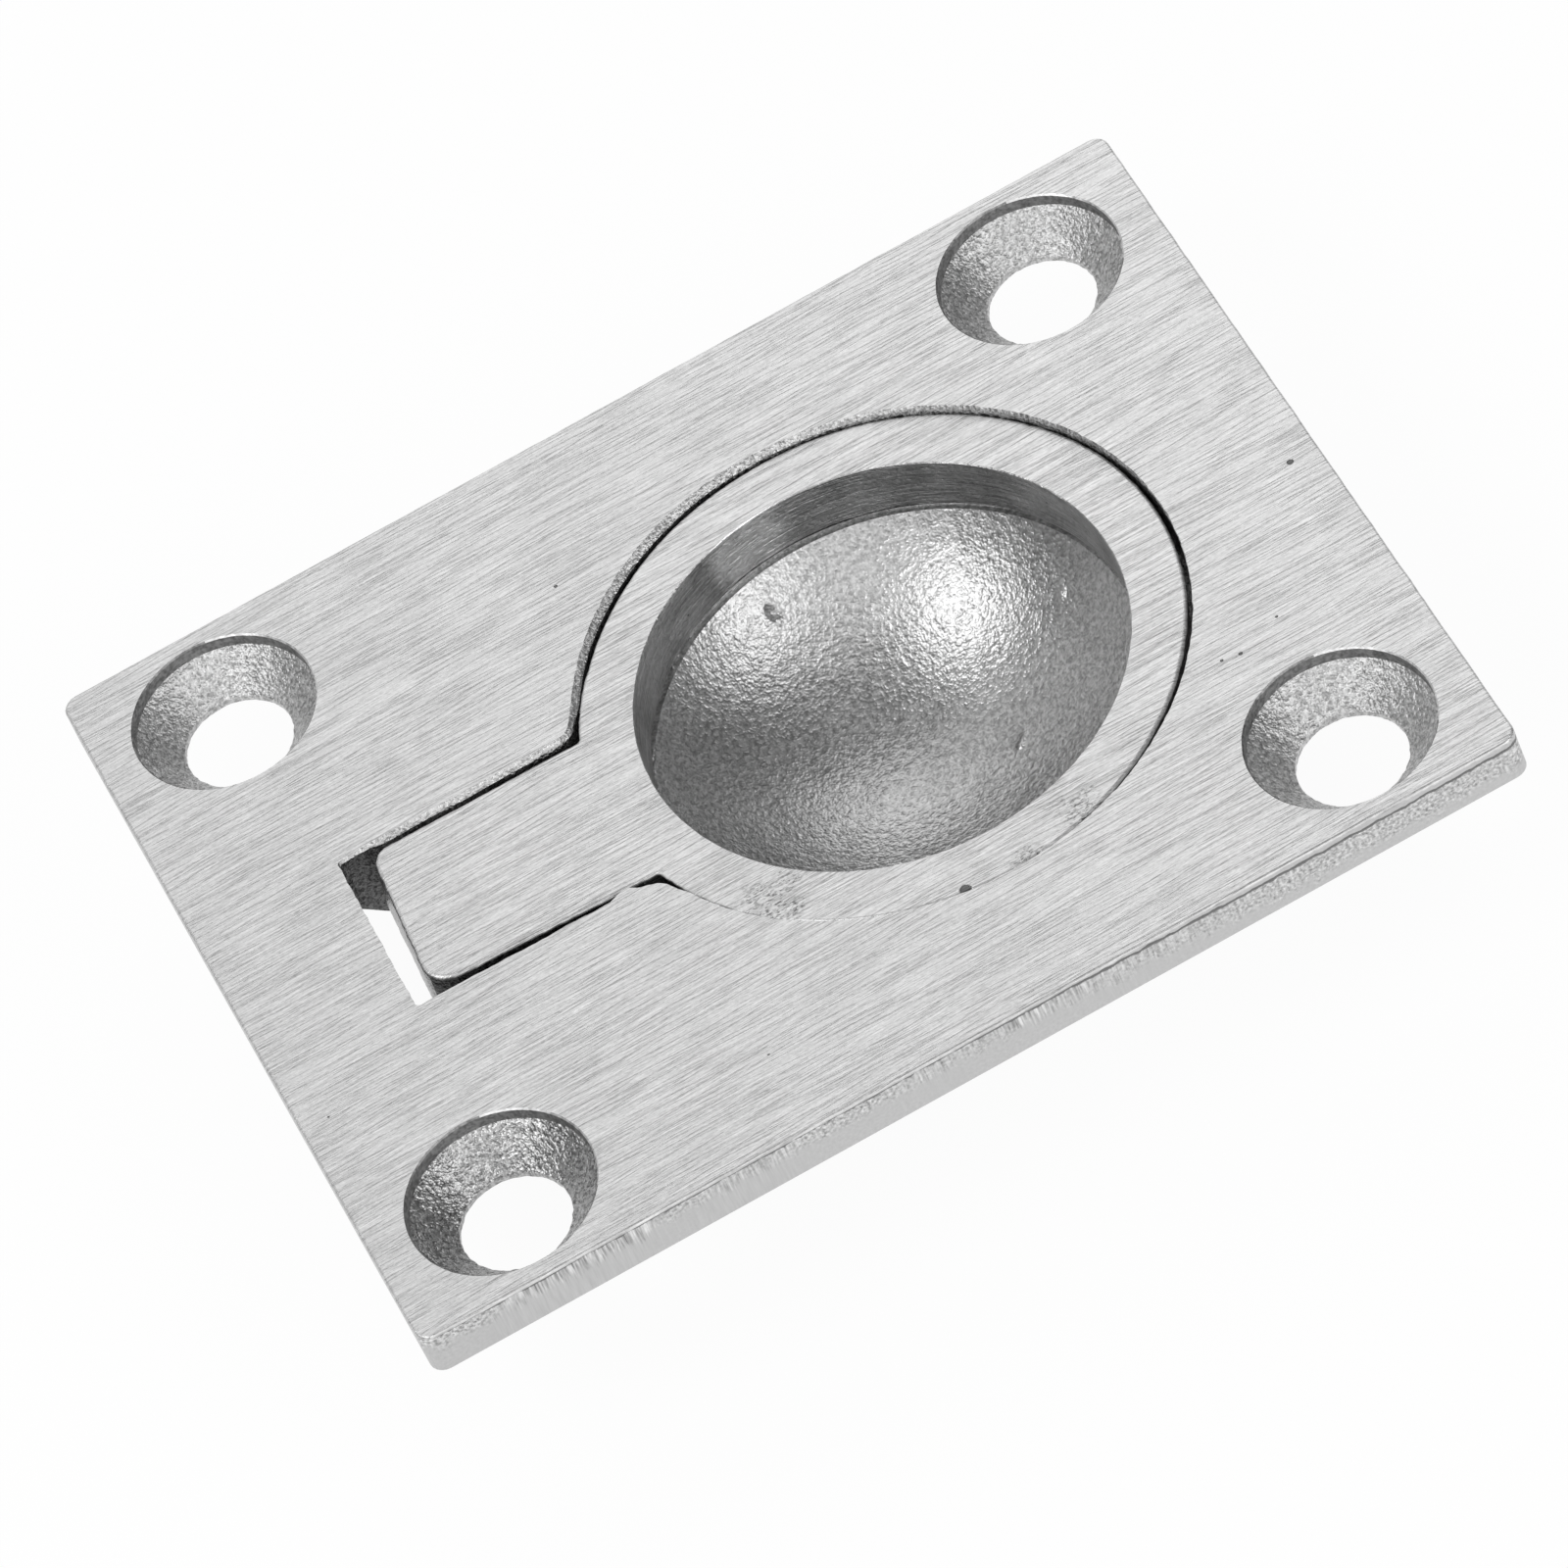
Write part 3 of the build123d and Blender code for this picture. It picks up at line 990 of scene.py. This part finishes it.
        # a square grid drawn out to a disc
        angle = np.where(wide, math.pi / 4 * v / safe, QUARTER - math.pi / 4 * u / safe)
        x, y = reach * np.cos(angle) * self.dish_rim, reach * np.sin(angle) * self.dish_rim
        z = centre_z - np.sqrt(sphere**2 - x**2 - y**2)
        points = np.column_stack(((x + self.dish_x).ravel(), y.ravel(), z.ravel()))
        outward = (points - (self.dish_x, 0, centre_z)) / sphere
        pebbles = 0.014 * fractal(points, 0.36, 9, 2) + 0.02 * fractal(points, 2.2, 10, 2)
        for spot, depth in DENTS:
            gap = np.hypot(points[:, 0] - spot.x, points[:, 1] - spot.y) / spot.radius
            pebbles = pebbles + depth * np.exp(-gap * gap)
        points = points + outward * pebbles[:, None]
        index = np.arange(count * count).reshape(count, count)
        squares = (index[:-1, :-1], index[:-1, 1:], index[1:, 1:], index[1:, :-1])
        faces = list(map(tuple, np.column_stack([corner.ravel() for corner in squares]).tolist()))
        rim = np.concatenate((index[:-1, 0], index[-1, :-1], index[:0:-1, -1], index[0, :0:-1]))
        spread = 1 + lip / self.dish_rim
        centre = np.array((self.dish_x, 0, 0))
        top = (points[rim] - centre) * (spread, spread, 0) + centre + (0, 0, self.ledge_z + 0.02)
        lip_ring = len(points) + np.arange(len(rim))
        lid_ring = lip_ring + len(rim)
        faces += quads(rim, lip_ring) + quads(lip_ring, lid_ring) + [tuple(lid_ring.tolist())]
        return Solid(np.concatenate((points, top, top + (0, 0, lid_height))), faces, Surface.DISH)

    def _pin_bore(self) -> Solid:
        """The bore through both ears, a hair over the pin."""
        hinge = self.hinge
        outline = arc((hinge.x, hinge.z), hinge.pin_radius + 0.01, 0, FULL, 48)
        return Solid.across(outline, self.width / 2, 4.0, Surface.WALL)

    def _screw_holes(self) -> list[Solid]:
        """The four countersunk holes: a rough cast cone with its bore, and a plain lip above it in a darker
        grey that is painted shade.
        """
        head, bore, top = self.screw_head, self.screw_bore, self.thickness
        lip_z = top - self.screw_lip
        cone_z = top - 0.6 - (head - bore)
        rim = 0.08
        run = (
            (bore, -OVERLAP),
            (bore, cone_z),
            (head, lip_z),
            (head, top - rim),
            (head + rim, top),
            (head + 0.4, top + 0.4 - rim),
        )
        profile = resampled(run, 0.15)
        holes = []
        for seed, (side, end) in enumerate(((-1, -1), (1, -1), (-1, 1), (1, 1)), start=20):
            centre = (side * self.screw_spacing[0] / 2, end * self.screw_spacing[1] / 2)
            # the hole at the hinge's near side is the roughest of the four
            surface = Surface.CAST if (side, end) == (-1, -1) else Surface.BACK
            plain = Solid.turned(profile, centre, 150, surface)
            rough = plain.roughened(0.05, 0.4, seed, octaves=3)
            share = np.where(plain.points[:, 2:] > lip_z - 0.01, 0.25, 1.0)
            rough.points = plain.points * (1 - share) + rough.points * share
            # the lip's darker grey is painted shade, and the rim's light grey is a painted highlight that
            # _paint_rims keeps on one side of each hole
            rough.bands = ((lip_z + 0.02, Surface.LIP), (top - rim, Surface.RIM))
            holes.append(rough)
        return holes


@dataclass
class PullRing:
    """The ring that a finger lifts, with its tang and the knuckle round the pin, in mm from the pin."""

    hinge: Hinge
    finishes: dict[Surface, bpy.types.Material]
    reach: float = 25.2
    radius: float = 16.3
    bore: float = 13.25
    underside: float = 0.25
    top: float = 3.95
    draft: float = 10.0
    tang_half: float = 5.1
    tail: float = 2.9
    edge: float = 0.2
    bore_edge: float = 0.05
    bore_back: float = 0.35
    knuckle: float = 2.25
    knuckle_half: float = 4.7
    # how far the ring's rim lies outside the true round, by the angle in degrees
    rim: Table = (
        (-160, 0.2), (-100, 0.12), (-75, -0.03), (-50, -0.15), (-30, -0.1), (0, 0.08), (20, 0.24),
        (50, 0.29), (65, 0.24), (80, 0.12), (95, -0.04), (110, -0.13), (130, -0.24), (160, -0.14),
    )

    def build(self) -> bpy.types.Object:
        """Builds the piece, in metres."""
        casting = Casting("pull_ring_cast", self.finishes)
        frame = self.hinge.pull_frame()
        casting.start(self._blank().moved(frame))
        self._paint_blank(casting.body.data, frame)
        casting.combine("UNION", self._knuckle().moved(frame))
        casting.combine("DIFFERENCE", self._eye().moved(frame), self._pin_bore().moved(frame))
        return casting.finished()

    def _blank(self) -> Solid:
        """The ring and tang in one outline, with a softened face edge and a drafted ring."""
        corners = {"neck": 0.25, "near_corner": 1.6, "far_corner": 1.0, "spacing": 0.2}
        shape = Keyhole(self.reach, self.radius, self.tang_half, -self.tail, **corners)
        slope = math.tan(math.radians(self.draft))
        back = 0.3
        sides = [(-back, self.underside), (0.0, self.underside + back)]
        sides += [(0.0, z) for z in np.linspace(self.underside + 2 * back, self.top - self.edge, 12)]
        levels = [(shape.outline(grow, (self.top - z) * slope), z) for grow, z in sides]
        levels += [(shape.outline(-inset), z) for inset, z in rounded_edge(self.edge, self.top, 5)]
        blank = Solid.stacked(levels, Surface.WALL)
        blank.points = self._worn_blank(blank.points)
        level = blank.points[:, 2].copy()
        rough = blank.roughened(0.035, 0.5, 12, octaves=3)
        rough.points[:, 2] = level
        return rough

    def _worn_blank(self, points: np.ndarray) -> np.ndarray:
        """The blank's points as it was really ground: out of round, its tang tapered and its end askew.

        Args:
            points: The true outline's points, in mm.

        Returns:
            The points, moved by a few tenths of a millimetre.
        """
        x, y, z = points.T
        neck_x = 9.5
        along = np.clip((neck_x - x) / (neck_x + self.tail), 0, 1)
        in_tang = np.clip((neck_x + 2.5 - x) / 2.5, 0, 1)
        at_end = np.clip((-x - 0.4) / (self.tail - 0.6), 0, 1)
        lean = (0.3 + 0.02 * y) * (self.top - z) / (self.top - self.underside)
        x_shift = at_end * (0.075 * y + 0.04 - lean)
        y_shift = in_tang * np.where(y < 0, 0.45 * along - 0.14, 0.14)
        angle = np.arctan2(y, x - self.reach)
        degrees = np.degrees(angle)
        outwards = (1 - in_tang) * np.interp(degrees, *zip(*self.rim))
        # beside the neck the round draws in below its face, so that it clears the pocket as it swings up
        beside_neck = np.interp(np.abs(degrees), (110, 135), (0, 1)) * np.clip(x - neck_x + 1, 0, 1)
        x_shift = x_shift + 0.34 * beside_neck * (1 - np.exp((z - self.top) / 0.55))
        x, y = x + x_shift + outwards * np.cos(angle), y + y_shift + outwards * np.sin(angle)
        return np.column_stack((x, y, z))

    def _paint_blank(self, mesh: bpy.types.Mesh, frame: Matrix) -> None:
        """Brushes the ring's face, paints shade in the slot's near-black grey on the tang's near side and
        leaves cast grain on its end.
        """
        back = frame.inverted()
        neck_x, steep = 9.0, -0.45
        paint(mesh, Surface.CAST, lambda face: (back @ face.center).x < 0 and face.normal.x < -0.5)
        # painted shade: the tang's near side takes the slot's near-black grey for the shadow in the gap
        # beside it
        paint(mesh, Surface.SLOT, lambda face: (back @ face.center).x < neck_x and face.normal.y < steep)
        paint(mesh, Surface.BRUSHED, lambda face: (back @ face.center).z > self.top - self.edge)

    def _knuckle(self) -> Solid:
        """The knuckle under the tang."""
        radius = self.knuckle
        lobe = arc((0, 0), radius, math.pi, FULL, 40)
        foot = resampled(((radius, 0), (radius, OVERLAP), (-radius, OVERLAP), (-radius, 0.1)), 0.5)
        return Solid.across(np.concatenate((lobe, foot)), self.knuckle_half, 0.5, Surface.BACK)

    def _eye(self) -> Solid:
        """The ring's eye, with broken edges, most where the finger hooks under."""
        low, high, beyond = self.underside, self.top, 0.3
        run = (
            (self.bore + self.bore_back + beyond, low - beyond),
            (self.bore + self.bore_back, low),
            (self.bore, low + self.bore_back),
            (self.bore, high - self.bore_edge),
            (self.bore + self.bore_edge, high),
            (self.bore + self.bore_edge + beyond, high + beyond),
        )
        eye = Solid.turned(resampled(run, 0.25), (self.reach, 0), 420, Surface.WALL)
        return eye.roughened(0.02, 0.9, 14, octaves=3)

    def _pin_bore(self) -> Solid:
        """The bore that runs on the pin."""
        outline = arc((0, 0), self.hinge.pin_radius + self.hinge.bore_play, 0, FULL, 48)
        return Solid.across(outline, self.tang_half * 2, 4.0, Surface.WALL)


@dataclass
class HingePin:
    """The plain pin that the ring swings on, in mm."""

    hinge: Hinge
    chamfer: float = 0.2

    def build(self) -> bpy.types.Object:
        """Builds the piece, in metres."""
        half, radius = self.hinge.outer_width / 2, self.hinge.pin_radius
        end, side = radius - self.chamfer, half - self.chamfer
        run = ((end, -half), (radius, -side), (radius, side), (end, half))
        upright = Solid.turned(resampled(run, 1.0), (0, 0), 64, Surface.BRUSHED)
        wire = DrawnSteel("drawn_stainless", "#A6A6A6", "#CDCDCD", (0.28, 0.36)).material()
        casting = Casting("hinge_pin_wire", {Surface.BRUSHED: wire})
        lay = Matrix.Translation((self.hinge.x, 0, self.hinge.z)) @ Matrix.Rotation(QUARTER, 4, "X")
        casting.start(upright.moved(lay))
        return casting.finished(crease=40.0)


# Studio


@dataclass(frozen=True)
class Lamp:
    """A square softbox: where it stands as seen from the part, and how bright its face is."""

    name: str
    azimuth: float
    elevation: float
    distance: float
    side: float
    radiance: float


@dataclass
class Studio:
    """Floor, soft light and camera."""

    floor_z: float
    # how far the floor reaches each way in metres, and the share of plain white in what the camera sees of it
    floor_half: float = 6.0
    floor_glow: float = 0.94
    target: tuple[float, float, float] = (-1.2216, -4.2620, 3.0)
    azimuth: float = -5.4835
    elevation: float = 49.1534
    distance: float = 574.0617
    roll: float = -24.7126
    lens: float = 257.394
    lamps: tuple[Lamp, ...] = (
        Lamp("lamp_left", -76.5, 53.5, 0.5, 0.26, 4.0),
        Lamp("lamp_front", 40.0, 33.0, 0.5, 0.2, 2.9),
        Lamp("lamp_far_right", 147.0, 41.0, 0.5, 0.2, 0.7),
        Lamp("lamp_back", 165.0, 45.0, 0.6, 0.4, 0.6),
    )

    @staticmethod
    def _towards(azimuth: float, elevation: float) -> Vector:
        """The unit vector from the part to that azimuth and elevation, in degrees."""
        turn, rise = math.radians(azimuth), math.radians(elevation)
        return Vector((math.sin(turn) * math.cos(rise), -math.cos(turn) * math.cos(rise), math.sin(rise)))

    def build(self) -> None:
        """Builds the floor, the lamps, the world and the camera."""
        self._floor()
        self._world()
        for lamp in self.lamps:
            self._lamp(lamp)
        self._camera()
        bpy.context.scene.view_settings.view_transform = "Standard"

    def _floor(self) -> None:
        """A plain white floor that shows white but keeps a soft shadow."""
        mesh = bpy.data.meshes.new("floor")
        half = self.floor_half
        corners = [(x * half, y * half, self.floor_z) for x, y in ((-1, -1), (1, -1), (1, 1), (-1, 1))]
        mesh.from_pydata(corners, [], [(0, 1, 2, 3)])
        floor = placed("floor", mesh)
        paper = bpy.data.materials.new("white_paper")
        nodes = Nodes(emptied(paper))
        path = nodes.add("LightPath")
        seen = nodes.largest(path.outputs[f"Is {kind} Ray"] for kind in ("Camera", "Glossy", "Transmission"))
        matt = nodes.add("BsdfDiffuse", {"Color": linear("#F2F2F2")}).outputs[0]
        white = nodes.add("Emission", {"Color": (1, 1, 1, 1), "Strength": 1.0}).outputs[0]
        share = nodes.combined("MULTIPLY", seen, self.floor_glow)
        mix = nodes.add("MixShader", {0: share, 1: matt, 2: white})
        nodes.add("OutputMaterial", {"Surface": mix.outputs[0]})
        mesh.materials.append(paper)
        floor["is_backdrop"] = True

    def _world(self) -> None:
        """A tent with a pale wall in front and one behind, dark at both sides and overhead."""
        world = bpy.data.worlds.new("tent")
        nodes = Nodes(emptied(world))
        way = nodes.add("TexCoord").outputs["Generated"]
        walls = []
        for azimuth, strength in ((0.0, 1.26), (180.0, 0.93)):
            middle = tuple(self._towards(azimuth, 10.0))
            lean = nodes.add("VectorMath", {0: way, 1: middle}, operation="DOT_PRODUCT").outputs["Value"]
            wall = nodes.add("MapRange", {"Value": lean, "To Max": strength}, interpolation_type="SMOOTHSTEP")
            walls.append(wall.outputs["Result"])
        sky = nodes.add("Background", {"Color": (1, 1, 1, 1), "Strength": nodes.combined("ADD", *walls)})
        nodes.add("OutputWorld", {"Surface": sky.outputs[0]})
        bpy.context.scene.world = world

    def _lamp(self, lamp: Lamp) -> None:
        """Stands one softbox, facing the part."""
        light = bpy.data.lights.new(lamp.name, "AREA")
        light.shape = "SQUARE"
        light.size = lamp.side
        light.energy = lamp.radiance * math.pi * lamp.side**2
        stand = placed(lamp.name, light)
        way = self._towards(lamp.azimuth, lamp.elevation)
        stand.location = way * lamp.distance
        stand.rotation_euler = way.to_track_quat("Z", "Y").to_euler()

    def _camera(self) -> None:
        """Stands the camera where the photograph was taken from."""
        lens = bpy.data.cameras.new("camera")
        lens.lens = self.lens
        lens.sensor_width = 36.0
        lens.clip_start, lens.clip_end = 0.01, 20.0
        camera = placed("camera", lens)
        back = self._towards(self.azimuth, self.elevation)
        camera.location = (Vector(self.target) + back * self.distance) * MM
        level = back.to_track_quat("Z", "Y").to_matrix()
        camera.rotation_euler = (level @ Matrix.Rotation(math.radians(self.roll), 3, "Z")).to_euler()
        bpy.context.scene.camera = camera


def corners_of(box: tuple[Vector, Vector]) -> list[list[float]]:
    """A box as plain lists of numbers."""
    return [list(corner) for corner in box]


def triangles(piece: bpy.types.Object) -> int:
    """How many triangles a piece has."""
    return sum(len(face.vertices) - 2 for face in piece.data.polygons)


def spots(*places: tuple[float, float, float]) -> tuple[Spot, ...]:
    """Spots, each from its x, y and radius in mm."""
    return tuple(Spot(*place) for place in places)


def main() -> None:
    """Builds the pieces and the studio."""
    logging.basicConfig(level=logging.INFO, format="%(message)s")
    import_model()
    cad_box = corners_of(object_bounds())
    hinge = Hinge()
    plate_face = BrushedSteel(
        "brushed_plate_stainless",
        *BRUSHED_LOOK,
        chips=spots(
            (29.8, -1.7, 0.18),
            (-5.9, 15.3, 0.1),
            (21.1, -11.2, 0.09),
            (22.1, -11.4, 0.11),
            (24.7, -10.4, 0.08),
        ),
    )
    ring_face = BrushedSteel(
        "brushed_ring_stainless",
        *BRUSHED_LOOK,
        chips=spots((3.8, -16.0, 0.33)),
        worn=spots((-4.8, -10.6, 3.4), (11.0, -15.0, 2.8), (7.5, -16.2, 2.0)),
    )
    for piece, body, node, slot in (
        (FacePlate(hinge, finishes(plate_face)), "plate", "face_plate", "plate_steel"),
        (PullRing(hinge, finishes(ring_face)), "ring", "pull_ring", "ring_steel"),
        (HingePin(hinge), "plate", "hinge_pin", "pin_steel"),
    ):
        made = piece.build()
        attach(made, body)
        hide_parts(node)
        LOG.info("%s: %d triangles, rides on %s", made.name, triangles(made), body)
    Studio(floor_z=cad_box[0][2]).build()


if __name__ == "__main__":
    main()
